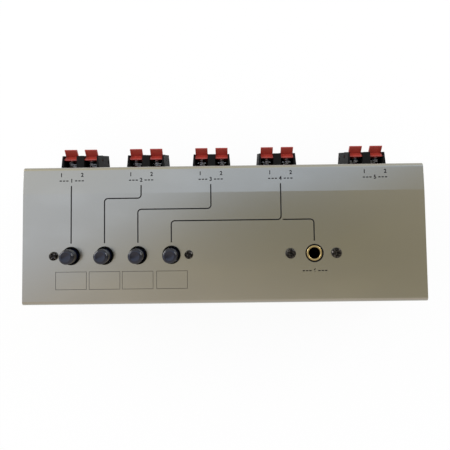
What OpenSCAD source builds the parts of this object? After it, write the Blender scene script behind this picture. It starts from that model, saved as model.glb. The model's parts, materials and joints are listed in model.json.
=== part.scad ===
// Selector that joins one amplifier to four pairs of loudspeakers.
// It lies on its feet with the control panel facing up.
// +X is to the right, +Y to the terminals at the rear, +Z up, in millimetres.
// The origin lies under the middle of the whole outline, on the table.

/* [Case] */
// Width of the case
case_w = 230; // [222:1:260]
// Depth of the case, from the front wall to the rear wall
case_d = 78.6; // [76:0.2:100]
// Height of the case without its feet
case_h = 46; // [45:0.5:60]
// Thickness of the folded sheet
sheet = 1.2; // [0.8:0.1:1.5]
// Outside radius of the cover's two long bends
bend_r = 2.2; // [1.9:0.1:3.5]
// Distance of the panel's shallow crease from the rear wall
crease_in = 15.4; // [13:0.1:18]
// Drop of the panel from the crease to the rear wall
crease_drop = 0.7; // [0.3:0.05:1]
// Width of the cover's return flanges along the bottom
return_w = 9; // [8:0.5:11]
// Gap between the cover and the tray's side walls
tray_gap = 0.1; // [0.05:0.05:0.3]
// Distance of each cover screw from the wall beside it
cover_screw_inset = 5.5; // [5:0.5:6]

/* [Feet] */
// Height of the rubber feet
foot_h = 4; // [3.5:0.1:8]
// Radius of the rubber feet
foot_r = 6.5; // [6:0.1:8]
// Distance of each foot's middle from the two walls beside it
foot_inset = 14; // [12:0.5:18]

/* [Push buttons] */
// Distance of the first button from the left end
buttons_in = 27.8; // [27:0.1:30]
// Distance from one button to the next
button_pitch = 19.1; // [18.8:0.1:19.6]
// Distance of the row of controls from the front wall
controls_in = 27.8; // [26:0.1:30]
// Radius of a button's cap
cap_r = 4.2; // [3.8:0.05:4.4]
// Height of a button's cap above the panel
cap_proud = 9; // [7:0.1:12]
// Radius of the rounded shoulder of the cap
cap_shoulder = 1; // [0.5:0.1:1.5]
// Outside radius of the collar round each button
collar_r = 5.25; // [5.2:0.05:6]
// Height of the collar above the panel
collar_proud = 0.4; // [0.2:0.1:0.8]
// Gap between a cap and its collar
collar_gap = 0.3; // [0.2:0.05:0.35]
// Travel of a button
button_travel = 4; // [3:0.1:4.5]

/* [Switches] */
// Width of a switch body
switch_w = 13; // [12:0.1:13.2]
// Length of a switch body, front to rear
switch_l = 22; // [18:0.5:24]
// Height of a switch body
switch_h = 15; // [14.5:0.1:16]
// Wall of a switch body
switch_wall = 2; // [1.6:0.1:2.4]
// Distance from the cover down to the switch bracket
bracket_drop = 8; // [7:0.1:9]
// Distance from an outer button to the bracket screw beside it
bracket_screw_gap = 9.9; // [9.6:0.1:11]
// Width of a plunger, across its flats
plunger_w = 4; // [3.6:0.1:4.4]
// Gap between a plunger and the holes it slides in
plunger_gap = 0.25; // [0.15:0.05:0.3]
// Radius of the wire in a return spring
return_wire_r = 0.25; // [0.2:0.05:0.3]
// Thickness of the circuit boards
board_t = 1.6; // [1:0.2:2]

/* [Headphone jack] */
// Distance of the jack from the right end
jack_in = 63.5; // [58:0.1:66]
// Radius of the jack's bore, for a 6.35 mm plug
jack_bore_r = 3.25; // [3.2:0.01:3.4]
// Wall of the sleeve in the jack
sleeve_wall = 1.15; // [0.8:0.05:1.4]
// Length of the sleeve in the jack
sleeve_l = 10; // [8:0.5:14]
// Radius of the jack's nose
nose_r = 5.05; // [5:0.05:5.4]
// Depth of the jack below the panel
jack_depth = 38; // [34:0.5:39]
// Width of the square body of the jack
jack_w = 15; // [14:0.5:17]
// Distance between the two jack screws
jack_screw_pitch = 26; // [25:0.5:30]
// Shift of the pair of jack screws from the jack
jack_screw_shift = -0.6; // [-1:0.1:1]

/* [Terminal blocks] */
// Distance of the outer blocks from the two ends
blocks_in = 27.9; // [26:0.1:29]
// Extra room between the last loudspeaker block and the amplifier block
amp_extra = 14.2; // [8:0.1:18]
// Distance from the panel down to the top of the blocks
block_drop = 14.9; // [12:0.1:15]
// Width of a block at the rear wall
block_w = 23.2; // [23:0.1:24]
// Distance between the two rows of a block
row_pitch = 13; // [13:0.1:14]
// Reach of a block behind the wall, at its top
block_top_reach = 8.4; // [8.4:0.1:9]
// Reach of a block behind the wall, at its bottom
block_foot_reach = 11.3; // [10:0.1:12]
// How much each flank of a block draws in at its foot
block_draft = 1; // [0.4:0.1:1.2]
// Width of the flange inside the wall
flange_w = 34; // [33:0.5:36]
// Height of the flange inside the wall
flange_h = 29; // [28:0.5:29]
// Thickness of the flange inside the wall
flange_t = 2; // [1.5:0.1:3]
// Gap between a block's flank and the screw head beside it
block_screw_gap = 0.4; // [0.3:0.05:0.5]

/* [Levers] */
// Distance between the two levers of a row
lever_pitch = 12.3; // [12.2:0.05:12.5]
// Width of a lever
lever_w = 7.4; // [7:0.05:7.5]
// Gap on each side of a lever
lever_side_gap = 0.2; // [0.15:0.05:0.25]
// Reach of an upper lever's tip behind the wall
lever_reach = 12.3; // [12:0.1:13]
// Reach of a lower lever's tip behind the wall
lower_reach = 10.3; // [9.8:0.1:12.3]
// Height of a lever's top above the bottom of its cell
lever_top = 12.3; // [12:0.1:12.3]
// Depth of the finger dip in a lever
dip_depth = 2.9; // [2:0.1:3.2]
// Radius of the wire hole in a lever
wire_hole_r = 1.4; // [1:0.05:1.5]
// Radius of a lever's pivot pins
pivot_r = 1; // [0.8:0.05:1.1]
// Running gap round the pivot pins
pivot_gap = 0.05; // [0.02:0.01:0.09]
// Middle radius of a lever spring's coils
lever_spring_r = 1.5; // [1.4:0.05:1.6]
// Radius of the wire in a lever spring
lever_wire_r = 0.2; // [0.15:0.01:0.22]
// Coils in a lever spring
lever_spring_coils = 3; // [3:1:4]

/* [Screws] */
// Radius of the heads beside the buttons and on the blocks
small_head_r = 2.45; // [2.2:0.05:2.8]
// Radius of the heads beside the jack and under the case
large_head_r = 2.95; // [2.6:0.05:3.1]
// Height of the screw heads
head_h = 1.8; // [1.4:0.1:2]
// Radius of the thread of the small screws
small_thread_r = 1.25; // [1:0.05:1.3]
// Radius of the thread of the large screws
large_thread_r = 1.5; // [1.3:0.05:1.6]
// Gap round a screw in its hole
screw_gap = 0.05; // [0.05:0.01:0.15]

/* [Hidden] */
$fn = 48;
eps = 0.01;
over = 1;

// Levels, from the table up
plate_z = foot_h;
face_z = foot_h + case_h;
under_z = face_z - sheet;
flange_z = plate_z + sheet;

// Feet
foot_edge = 0.8;
foot_recess_h = 2.2;
foot_recess_gap = 0.3;
foot_bore_gap = 0.1;

// Screws
thread_past = 2;
head_edge = head_h * 0.6;
recess_w = 0.8;
recess_h = 1;
recess_reach = 1.25;
recess_angles = [20, 110];

// Places from front to rear
front_y = -(case_d + lever_reach) / 2;
rear_y = front_y + case_d;
controls_y = front_y + controls_in;
crease_y = rear_y - crease_in;
crease_angle = atan(crease_drop / crease_in);

// Switch bank
buttons = [0, 1, 2, 3];
sides = [-1, 1];
first_button_x = buttons_in - case_w / 2;
bank_x = first_button_x + 1.5 * button_pitch;
bank_screw_x = 1.5 * button_pitch + bracket_screw_gap;
collar_lip = 0.3;
collar_fit = 0.05;
collar_edge = collar_proud * 0.7;
collar_neck_r = collar_r - collar_lip;
collar_hole_r = collar_neck_r + collar_fit;
collar_neck_l = 1.8;
bracket_z = under_z - bracket_drop;
bracket_edge = 1;
bracket_w = switch_l + 2 * bracket_edge;
leg_gap = 0.25;
leg_x = 1.5 * button_pitch + switch_w / 2 + leg_gap;
ear_l = 10;
switch_top = bracket_z - sheet;
switch_z = switch_top - switch_h;
switch_roof = 2.6;
stop_w = 8;
stop_t = 1.5;
stop_gap = 0.2;
stop_z = switch_top - switch_roof - stop_gap - stop_t;
stem_r = 1.5;
stem_end_gap = 0.4;
stem_l = stop_z - switch_z - switch_wall - button_travel - stem_end_gap;
return_spring_r = 2.9;
spring_seat_gap = 0.1;
cap_foot_gap = 0.5;
cap_z = bracket_z + button_travel + cap_foot_gap;
cap_h = face_z + cap_proud - cap_z;
socket_h = 8;
socket_gap = 0.05;
board_z = switch_z - board_t;
board_w = 92;
board_l = 34;
pin_places = [-1.5, -0.5, 0.5, 1.5];
pin_row_x = 4.5;
pin_pitch = 5;
pin_w = 0.6;
pin_gap = 0.1;
pin_below = 2;

// Headphone jack
jack_x = case_w / 2 - jack_in;
sleeve_r = jack_bore_r + sleeve_wall;
sleeve_fit = 0.02;
sleeve_sunk = 0.1;
sleeve_edge = 0.4;
sleeve_z = face_z - sleeve_sunk - sleeve_l;
nose_sunk = 0.3;
nose_gap = 0.15;
jack_flange_t = 2.4;
jack_flange_margin = 4.5;
jack_flange_w = jack_screw_pitch + 2 * jack_flange_margin;
jack_floor = 2;
jack_z = face_z - jack_depth;
cavity_w = 9.4;
contact_t = 0.4;
contact_w = 3;
contact_bump = 1.1;
contact_top_gap = 0.1;
leaf_top_gap = 0.5;
bow_half_l = 4;
bow_slope = 0.2;
tip_bow = 8;
ring_bow = 14;
lug_below = 2.6;
phones_board_w = 44;
phones_board_front = 10;
phones_board_rear = 31;
resistor_size = [9, 20, 9];
resistor_x = 13;
resistor_y = 19;
resistor_stand = 0.5;
lead_r = 0.4;
lead_gap = 0.1;
lead_inset = 2;
lead_below = 1.5;

// Terminal blocks
first_block_x = blocks_in - case_w / 2;
block_pitch = (case_w - 2 * blocks_in - amp_extra) / 4;
block_xs = concat([for (i = [0:3]) first_block_x + i * block_pitch], [-first_block_x]);
block_h = 2 * row_pitch;
block_z = face_z - block_drop - block_h;
block_top_half = block_w / 2;
block_screw_x = block_top_half + block_screw_gap + small_head_r;
inner_l = 12;
inner_w = 21;
inner_trim = 1;
wall_cut_gap = 0.15;
cell_floor = 1.2;
cell_back = 1.2;
tip_rise_room = 0.7;
cell_roof = lever_top + tip_rise_room;
cell_w = lever_w + 2 * lever_side_gap;
slab_front = 8.4;
cover_screw_xs = [
    first_block_x + block_pitch / 2, first_block_x + 2.5 * block_pitch, (block_xs[3] + block_xs[4]) / 2
];
rows = [0, 1];

// Levers, seen from the side: from the wall outwards and up from the bottom of the cell
stem_back = 5.7;
stem_t = 2.3;
stem_front = stem_back + stem_t;
stem_foot = 1.5;
crest_t = 0.7;
dip_y = 8.2;
dip_z = lever_top - dip_depth;
dip_web = 2;
tip_t = 1.1;
tip_land = 0.6;
pivot_y = stem_back + stem_t / 2;
pivot_z = 3;
pivot_l = 0.7;
wire_hole_z = 5.7;
lever_spring_z = 9.6;
spigot_r = 1;
spigot_l = 0.7;

// Contact strips in the terminal blocks
strip_w = 3;
strip_t = 0.5;
strip_z = 4;
clamp_y = 3.4;
clamp_w = 5;
clamp_h = 2.7;
lug_l = 4;

// Wiring inside the case
bundle_r = 2;
bundle_sides = 8;
bundle_rings = 12;
bundle_start_gap = 0.3;
bundle_edge = 1;
bundle_lead_out = 8;
bundle_lead_in = 9;
bundle_ends = [-38, -16, 6, 26, 41];
bundle_rises = [4, 4, 4, 8, 22];

// Helical springs
coil_rings = 8;
coil_sides = 6;
spring_l = stem_back - cell_back - 2 * spring_seat_gap;
spring_run = spring_l - 2 * lever_wire_r;

black = "#17171a";
dark = "#26262a";
red = "#a32028";
steel = "#b9bcc0";
champagne = "#a9a698";
gold = "#d9b35f";
board_green = "#2f5d3a";
ivory = "#e6e3da";
graphite = "#3a3a3e";

block_names = ["a", "b", "c", "d", "amp"];
row_names = ["lower", "upper"];
side_names = ["left", "right"];

CASE_NODES = ["top_cover", "base_tray", "cover_screws", "rubber_feet", "foot_screws"];
BANK_NODES = ["button_collars", "switch_bracket", "bracket_screws", "switch_pins", "switch_board",
    "return_springs"];
JACK_NODES = ["jack_body", "jack_sleeve", "jack_contacts", "jack_screws", "phones_board",
    "phones_resistors"];
BLOCK_NODES = ["terminal_contacts", "terminal_screws", "upper_lever_springs", "lower_lever_springs",
    "wiring"];
SWITCH_PARTS = ["button", "plunger", "switch_body"];

// A flat shape drawn in (Y, Z), drawn out along X about the middle.
module along_x(length) {
    translate([-length / 2, 0, 0]) rotate([90, 0, 90]) linear_extrude(length) children();
}

// The side outline of the case: square below, with round upper corners and the crease on top.
module case_outline(from_y, to_y, from_z, to_z, r) {
    fold_y = crease_y - (face_z - to_z) * tan(crease_angle / 2);
    rear_z = to_z - (r + sin(crease_angle) * (to_y - r - fold_y)) / cos(crease_angle);
    polygon([
        [from_y, from_z], [to_y, from_z], [to_y, rear_z],
        [to_y - r + r * sin(crease_angle), rear_z + r * cos(crease_angle)],
        [fold_y, to_z], [from_y + r, to_z], [from_y, to_z - r]
    ]);
    translate([from_y + r, to_z - r]) circle(r);
    translate([to_y - r, rear_z]) circle(r);
}

// A round body with a rounded upper edge.
module rounded_cylinder(r, h, edge) {
    rotate_extrude() {
        square([r - edge, h]);
        square([r, h - edge]);
        intersection() {
            translate([r - edge, h - edge]) circle(edge);
            square([r, h]);
        }
    }
}

// A pan-head screw with a cross recess: its head rests on z = 0 and its thread points down.
module pan_screw(head_r, thread_r, length) {
    recess_l = head_r * recess_reach;
    difference() {
        rounded_cylinder(head_r, head_h, head_edge);
        for (a = recess_angles) rotate([0, 0, a])
            translate([-recess_l / 2, -recess_w / 2, head_h - recess_h])
                cube([recess_l, recess_w, recess_h + over]);
    }
    translate([0, 0, -length]) cylinder(r = thread_r, h = length);
}

// A straight hole along Z, from z to z + h.
module bore(x, y, z, r, h) {
    translate([x, y, z - eps]) cylinder(r = r, h = h + 2 * eps);
}

// Places its children at each cover screw.
module at_cover_screws() {
    for (x = cover_screw_xs)
        for (y = [front_y + cover_screw_inset, rear_y - cover_screw_inset])
            translate([x, y, plate_z]) children();
}

// Places its children at each foot.
module at_feet() {
    for (x = [-1, 1] * (case_w / 2 - foot_inset))
        for (y = [front_y + foot_inset, rear_y - foot_inset])
            translate([x, y, 0]) children();
}

// Places its children at the two screws beside the buttons.
module at_bracket_screws(z) {
    for (s = sides) translate([bank_x + s * bank_screw_x, controls_y, z]) children();
}

// Places its children at the two screws beside the jack.
module at_jack_screws(z) {
    for (s = sides)
        translate([jack_x + jack_screw_shift + s * jack_screw_pitch / 2, controls_y, z]) children();
}

// Places its children at the two screws of each terminal block, pointing to the rear.
module at_block_screws() {
    for (x = block_xs) for (s = sides)
        translate([x + s * block_screw_x, rear_y, block_z + row_pitch]) rotate([-90, 0, 0]) children();
}

function button_x(i) = first_button_x + i * button_pitch;
function cell_x(side) = sides[side] * lever_pitch / 2;

module top_cover() {
    screw_hole_r = large_thread_r + screw_gap;
    color(champagne) difference() {
        along_x(case_w) {
            difference() {
                case_outline(front_y, rear_y, flange_z, face_z, bend_r);
                case_outline(front_y + sheet, rear_y - sheet, flange_z - over, under_z, bend_r - sheet);
            }
            translate([front_y, flange_z]) square([return_w, sheet]);
            translate([rear_y - return_w, flange_z]) square([return_w, sheet]);
        }
        for (i = buttons) bore(button_x(i), controls_y, under_z, collar_hole_r, sheet);
        at_bracket_screws(under_z) bore(0, 0, 0, small_thread_r + screw_gap, sheet);
        at_jack_screws(under_z) bore(0, 0, 0, screw_hole_r, sheet);
        bore(jack_x, controls_y, under_z, nose_r + nose_gap, sheet);
        at_cover_screws() bore(0, 0, sheet, screw_hole_r, sheet);
        at_block_screws() bore(0, 0, -sheet, small_thread_r + screw_gap, sheet);
        for (x = block_xs)
            translate([x - block_w / 2 - wall_cut_gap, rear_y - sheet - over, block_z - wall_cut_gap])
                cube([block_w + 2 * wall_cut_gap, sheet + 2 * over, block_h + 2 * wall_cut_gap]);
    }
}

module base_tray() {
    wall_z = under_z - tray_gap;
    color(steel) difference() {
        union() {
            translate([-case_w / 2, front_y, plate_z]) cube([case_w, case_d, sheet]);
            for (s = sides) translate([s * (case_w - sheet) / 2, 0, 0]) along_x(sheet)
                case_outline(front_y + sheet + tray_gap, rear_y - sheet - tray_gap, plate_z,
                    wall_z, bend_r - sheet - tray_gap);
        }
        for (s = sides) translate([s * (case_w / 2 - sheet / 2), 0, plate_z + sheet])
            for (y = [front_y, rear_y - return_w - tray_gap])
                translate([-sheet / 2 - over, y, 0])
                    cube([sheet + 2 * over, return_w + tray_gap, sheet + tray_gap]);
        at_cover_screws() bore(0, 0, 0, large_thread_r + screw_gap, sheet);
        at_feet() bore(0, 0, plate_z, large_thread_r + screw_gap, sheet);
    }
}

module cover_screws() {
    color(dark) at_cover_screws() rotate([180, 0, 0])
        pan_screw(large_head_r, large_thread_r, 2 * sheet + thread_past);
}

module rubber_feet() {
    color(black) at_feet() difference() {
        rotate([180, 0, 0]) translate([0, 0, -foot_h]) rounded_cylinder(foot_r, foot_h, foot_edge);
        translate([0, 0, -eps]) cylinder(r = large_head_r + foot_recess_gap, h = foot_recess_h + eps);
        bore(0, 0, 0, large_thread_r + foot_bore_gap, foot_h);
    }
}

module foot_screws() {
    color(steel) at_feet() translate([0, 0, foot_recess_h]) rotate([180, 0, 0])
        pan_screw(large_head_r, large_thread_r, foot_h - foot_recess_h + sheet + thread_past);
}

module button_collars() {
    bore_r = cap_r + collar_gap;
    neck_z = face_z - collar_neck_l - sheet;
    color(black) for (i = buttons) translate([button_x(i), controls_y, 0]) difference() {
        union() {
            translate([0, 0, face_z]) rounded_cylinder(collar_r, collar_proud, collar_edge);
            translate([0, 0, neck_z]) cylinder(r = collar_neck_r, h = face_z + eps - neck_z);
        }
        bore(0, 0, neck_z, bore_r, face_z + collar_proud - neck_z);
    }
}

module button(i) {
    color(black) translate([button_x(i), controls_y, cap_z]) difference() {
        rounded_cylinder(cap_r, cap_h, cap_shoulder);
        translate([0, 0, (socket_h - eps) / 2])
            cube([plunger_w + 2 * socket_gap, plunger_w + 2 * socket_gap, socket_h + eps], center = true);
    }
}

module plunger(i) {
    shaft_z = stop_z + stop_t - eps;
    color(ivory) translate([button_x(i), controls_y, 0]) {
        translate([-plunger_w / 2, -plunger_w / 2, shaft_z])
            cube([plunger_w, plunger_w, cap_z + socket_h - socket_gap - shaft_z]);
        translate([-stop_w / 2, -stop_w / 2, stop_z]) cube([stop_w, stop_w, stop_t]);
        translate([0, 0, stop_z - stem_l]) cylinder(r = stem_r, h = stem_l + eps);
    }
}

module return_springs() {
    floor_z = switch_z + switch_wall + spring_seat_gap;
    color(steel) for (i = buttons) translate([button_x(i), controls_y, floor_z]) difference() {
        cylinder(r = return_spring_r, h = stop_z - spring_seat_gap - floor_z);
        bore(0, 0, 0, return_spring_r - 2 * return_wire_r, stop_z - spring_seat_gap - floor_z);
    }
}

module switch_body(i) {
    hole_w = plunger_w + 2 * plunger_gap;
    room_w = switch_w - 2 * switch_wall;
    color(graphite) translate([button_x(i), controls_y, switch_z]) difference() {
        translate([-switch_w / 2, -switch_l / 2, 0]) cube([switch_w, switch_l, switch_h]);
        translate([-room_w / 2, -room_w / 2, switch_wall])
            cube([room_w, room_w, switch_h - switch_roof - switch_wall]);
        translate([-hole_w / 2, -hole_w / 2, switch_wall]) cube([hole_w, hole_w, switch_h]);
    }
}

module switch_bracket() {
    hole_w = plunger_w + 2 * plunger_gap;
    color(steel) translate([bank_x, controls_y, 0]) difference() {
        union() {
            translate([-leg_x - sheet, -bracket_w / 2, bracket_z - sheet])
                cube([2 * (leg_x + sheet), bracket_w, sheet]);
            for (s = sides) {
                translate([s * (leg_x + sheet / 2) - sheet / 2, -bracket_w / 2, bracket_z - sheet])
                    cube([sheet, bracket_w, under_z - bracket_z + sheet]);
                translate([s * (leg_x + ear_l / 2) - ear_l / 2, -bracket_w / 2, under_z - sheet])
                    cube([ear_l, bracket_w, sheet]);
            }
        }
        for (i = buttons)
            translate([button_x(i) - bank_x - hole_w / 2, -hole_w / 2, bracket_z - sheet - over])
                cube([hole_w, hole_w, sheet + 2 * over]);
        for (s = sides) bore(s * bank_screw_x, 0, under_z - sheet, small_thread_r + screw_gap, sheet);
    }
}

module bracket_screws() {
    color(black) at_bracket_screws(face_z)
        pan_screw(small_head_r, small_thread_r, 2 * sheet + thread_past);
}

// Places its children at each solder pin of the four switches.
module at_switch_pins() {
    for (i = buttons) for (s = sides) for (p = pin_places)
        translate([button_x(i) + s * pin_row_x, controls_y + p * pin_pitch, board_z]) children();
}

module switch_pins() {
    color(gold) at_switch_pins()
        translate([-pin_w / 2, -pin_w / 2, -pin_below]) cube([pin_w, pin_w, pin_below + board_t]);
}

module switch_board() {
    hole_w = pin_w + 2 * pin_gap;
    color(board_green) difference() {
        translate([bank_x - board_w / 2, controls_y - board_l / 2, board_z])
            cube([board_w, board_l, board_t]);
        at_switch_pins() translate([-hole_w / 2, -hole_w / 2, -over])
            cube([hole_w, hole_w, board_t + 2 * over]);
    }
}

module jack_body() {
    color(dark) translate([jack_x, controls_y, 0]) difference() {
        union() {
            translate([0, 0, under_z - eps]) cylinder(r = nose_r, h = sheet - nose_sunk + eps);
            translate([jack_screw_shift - jack_flange_w / 2, -jack_w / 2, under_z - jack_flange_t])
                cube([jack_flange_w, jack_w, jack_flange_t]);
            translate([-jack_w / 2, -jack_w / 2, jack_z])
                cube([jack_w, jack_w, under_z - jack_flange_t - jack_z + eps]);
        }
        bore(0, 0, sleeve_z, sleeve_r + sleeve_fit, sleeve_l);
        translate([-cavity_w / 2, -cavity_w / 2, jack_z + jack_floor])
            cube([cavity_w, cavity_w, sleeve_z - jack_z - jack_floor + eps]);
        for (s = sides) {
            bore(jack_screw_shift + s * jack_screw_pitch / 2, 0, under_z - jack_flange_t,
                large_thread_r + screw_gap, jack_flange_t);
            translate([s * (cavity_w - contact_t) / 2 - contact_t / 2, -contact_w / 2, jack_z - over])
                cube([contact_t, contact_w, jack_floor + 2 * over]);
        }
        translate([-contact_w / 2, (cavity_w - 2 * contact_t) / 2, jack_z - over])
            cube([contact_w, contact_t, jack_floor + 2 * over]);
    }
}

module jack_sleeve() {
    color(gold) translate([jack_x, controls_y, sleeve_z]) difference() {
        rounded_cylinder(sleeve_r, sleeve_l, sleeve_edge);
        bore(0, 0, 0, jack_bore_r, sleeve_l);
    }
}

// A leaf that lies along the wall of the cavity, bows inwards once and ends in a solder lug.
module jack_leaf(bow_z) {
    wall = cavity_w / 2;
    top_z = sleeve_z - leaf_top_gap;
    inner_half_l = bow_half_l + bow_slope;
    rotate([90, 0, 0]) translate([0, 0, -contact_w / 2]) linear_extrude(contact_w) polygon([
        [wall, jack_z - lug_below], [wall, bow_z - bow_half_l],
        [wall - contact_bump, bow_z], [wall, bow_z + bow_half_l],
        [wall, top_z], [wall - contact_t, top_z], [wall - contact_t, bow_z + inner_half_l],
        [wall - contact_bump - contact_t, bow_z], [wall - contact_t, bow_z - inner_half_l],
        [wall - contact_t, jack_z - lug_below]
    ]);
}

module jack_contacts() {
    color(gold) translate([jack_x, controls_y, 0]) {
        jack_leaf(jack_z + tip_bow);
        mirror([1, 0, 0]) jack_leaf(jack_z + ring_bow);
        translate([-contact_w / 2, cavity_w / 2 - contact_t, jack_z - lug_below])
            cube([contact_w, contact_t, sleeve_z - contact_top_gap - jack_z + lug_below]);
    }
}

module jack_screws() {
    color(black) at_jack_screws(face_z)
        pan_screw(large_head_r, large_thread_r, sheet + jack_flange_t + thread_past);
}

// Places its children at each lead of the two resistors.
module at_resistor_leads() {
    lead_y = resistor_size[1] / 2 - lead_inset;
    for (s = sides) for (e = sides)
        translate([jack_x + s * resistor_x, controls_y + resistor_y + e * lead_y, 0]) children();
}

module phones_board() {
    slot = contact_t + 2 * pin_gap;
    color(board_green) difference() {
        translate([jack_x - phones_board_w / 2, controls_y - phones_board_front, jack_z - board_t])
            cube([phones_board_w, phones_board_front + phones_board_rear, board_t]);
        at_resistor_leads() bore(0, 0, jack_z - board_t, lead_r + lead_gap, board_t);
        for (s = sides)
            translate([jack_x + s * (cavity_w - contact_t) / 2 - slot / 2,
                controls_y - contact_w / 2 - pin_gap, jack_z - board_t - over])
                cube([slot, contact_w + 2 * pin_gap, board_t + 2 * over]);
        translate([jack_x - contact_w / 2 - pin_gap,
            controls_y + cavity_w / 2 - contact_t / 2 - slot / 2, jack_z - board_t - over])
            cube([contact_w + 2 * pin_gap, slot, board_t + 2 * over]);
    }
}

module phones_resistors() {
    color(ivory) {
        for (s = sides)
            translate([jack_x + s * resistor_x - resistor_size[0] / 2,
                controls_y + resistor_y - resistor_size[1] / 2, jack_z + resistor_stand])
                cube(resistor_size);
        at_resistor_leads() translate([0, 0, jack_z - board_t - lead_below])
            cylinder(r = lead_r, h = board_t + lead_below + resistor_stand + eps);
    }
}

// The room that the levers of a block need, cut from the block.
module lever_cells() {
    for (side = [0, 1]) translate([cell_x(side), 0, 0]) {
        along_x(cell_w) {
            translate([slab_front, cell_floor])
                square([block_foot_reach + over - slab_front, block_h + over - cell_floor]);
            translate([cell_back, cell_floor])
                square([slab_front + over - cell_back, cell_roof - cell_floor]);
            translate([cell_back, row_pitch + cell_floor])
                square([slab_front + over - cell_back, block_h + over - row_pitch - cell_floor]);
        }
        for (row = rows) translate([-strip_w / 2, -inner_l - over, row * row_pitch + strip_z])
            cube([strip_w, inner_l + cell_back + 2 * over, strip_t]);
    }
    for (row = rows) translate([0, pivot_y, row * row_pitch + pivot_z])
        rotate([0, 90, 0]) cylinder(r = pivot_r + pivot_gap, h = block_w + over, center = true);
}

// A spigot that keeps a lever spring in its place.
module spigot(y, row) {
    translate([0, y, row * row_pitch + lever_spring_z]) rotate([-90, 0, 0])
        cylinder(r = spigot_r, h = spigot_l + eps);
}

module terminal_block(x) {
    foot_half = block_top_half - block_draft;
    color(black) translate([x, rear_y, block_z]) {
        difference() {
            union() {
                intersection() {
                    linear_extrude(block_h) polygon([
                        [-block_top_half, 0], [block_top_half, 0],
                        [foot_half, block_foot_reach], [-foot_half, block_foot_reach]
                    ]);
                    along_x(block_w) polygon([
                        [0, 0], [block_foot_reach, 0], [block_foot_reach, cell_floor],
                        [block_top_reach, block_h], [0, block_h]
                    ]);
                }
                translate([-block_w / 2, -sheet - eps, 0]) cube([block_w, sheet + 2 * eps, block_h]);
                translate([-flange_w / 2, -sheet - flange_t, (block_h - flange_h) / 2])
                    cube([flange_w, flange_t, flange_h]);
                translate([-inner_w / 2, -inner_l, inner_trim])
                    cube([inner_w, inner_l - sheet, block_h - 2 * inner_trim]);
            }
            lever_cells();
            for (s = sides) translate([s * block_screw_x, -sheet - flange_t - eps, row_pitch])
                rotate([-90, 0, 0]) cylinder(r = small_thread_r + screw_gap, h = flange_t + 2 * eps);
        }
        for (side = [0, 1]) for (row = rows) translate([cell_x(side), 0, 0]) spigot(cell_back - eps, row);
    }
}

// One lever: a stem on two pivot pins, with a dip for the finger on top and a wire hole below it.
module lever(block, row, side) {
    reach = row == 1 ? lever_reach : lower_reach;
    color(row == 1 ? red : black)
    translate([block_xs[block] + cell_x(side), rear_y, block_z + row * row_pitch]) {
        difference() {
            along_x(lever_w) polygon([
                [stem_back, stem_foot], [stem_front, stem_foot], [stem_front, dip_z - dip_web],
                [reach, lever_top - tip_t], [reach, lever_top],
                [reach - tip_land, lever_top], [dip_y, dip_z],
                [stem_back + crest_t, lever_top], [stem_back, lever_top]
            ]);
            translate([0, stem_back - over, wire_hole_z]) rotate([-90, 0, 0])
                cylinder(r = wire_hole_r, h = stem_t + 2 * over);
        }
        translate([0, pivot_y, pivot_z]) rotate([0, 90, 0])
            cylinder(r = pivot_r, h = lever_w + 2 * pivot_l, center = true);
        translate([0, stem_back - spigot_l, 0]) spigot(0, 0);
    }
}

// A strip that runs from a solder lug inside the case to the clamp behind a lever.
module terminal_contacts() {
    color(gold) for (x = block_xs) for (row = rows) for (side = [0, 1])
        translate([x + cell_x(side), rear_y, block_z + row * row_pitch + strip_z]) {
            translate([-strip_w / 2, -inner_l - lug_l, 0])
                cube([strip_w, inner_l + lug_l + clamp_y + strip_t, strip_t]);
            translate([-clamp_w / 2, clamp_y, 0]) cube([clamp_w, strip_t, strip_t + clamp_h]);
        }
}

module terminal_screws() {
    color(black) at_block_screws()
        pan_screw(small_head_r, small_thread_r, sheet + flange_t + thread_past);
}

function unit(v) = v / norm(v);
function heading(path, k) = path[min(k + 1, len(path) - 1)] - path[max(k - 1, 0)];

// Points of the rings round a path. The rings are square to it, and turn with the direction ref.
function tube_points(path, r, sides, ref) = [
    for (k = [0:len(path) - 1])
        let (t = unit(heading(path, k)), n = unit(cross(t, ref)), b = cross(t, n))
            for (i = [0:sides - 1]) path[k] + r * (cos(360 * i / sides) * n + sin(360 * i / sides) * b)
];

// Triangles between the rings, and over both ends.
function tube_faces(rings, sides) = concat(
    [for (k = [0:rings - 2]) for (i = [0:sides - 1])
        [k * sides + i, (k + 1) * sides + i, k * sides + (i + 1) % sides]],
    [for (k = [0:rings - 2]) for (i = [0:sides - 1])
        [(k + 1) * sides + i, (k + 1) * sides + (i + 1) % sides, k * sides + (i + 1) % sides]],
    [for (i = [1:sides - 2]) [0, i, i + 1]],
    [for (i = [1:sides - 2]) let (e = (rings - 1) * sides) [e, e + i + 1, e + i]]
);

module tube(path, r, sides, ref) {
    polyhedron(tube_points(path, r, sides, ref), tube_faces(len(path), sides));
}

// The middle line of a lever spring, from the block's seat to the lever's back.
function spring_path(coils) = [
    for (k = [0:coils * coil_rings])
        let (a = 360 * k / coil_rings, share = k / (coils * coil_rings))
            [lever_spring_r * cos(a), cell_back + spring_seat_gap + lever_wire_r + share * spring_run,
                lever_spring_z + lever_spring_r * sin(a)]
];

// The least gap between the turns of a lever spring, measured from each point to those a turn away.
one_spring = spring_path(lever_spring_coils);
least_gap = min([
    for (i = [0:len(one_spring) - 1]) for (j = [i + coil_rings / 2:1:len(one_spring) - 1])
        norm(one_spring[i] - one_spring[j])
]) - 2 * lever_wire_r;
echo(least_gap_between_spring_turns = least_gap);

module upper_lever_springs() {
    color(steel) for (x = block_xs) for (side = [0, 1])
        translate([x + cell_x(side), rear_y, block_z + row_pitch])
            tube(one_spring, lever_wire_r, coil_sides, [0, 1, 0]);
}

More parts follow.
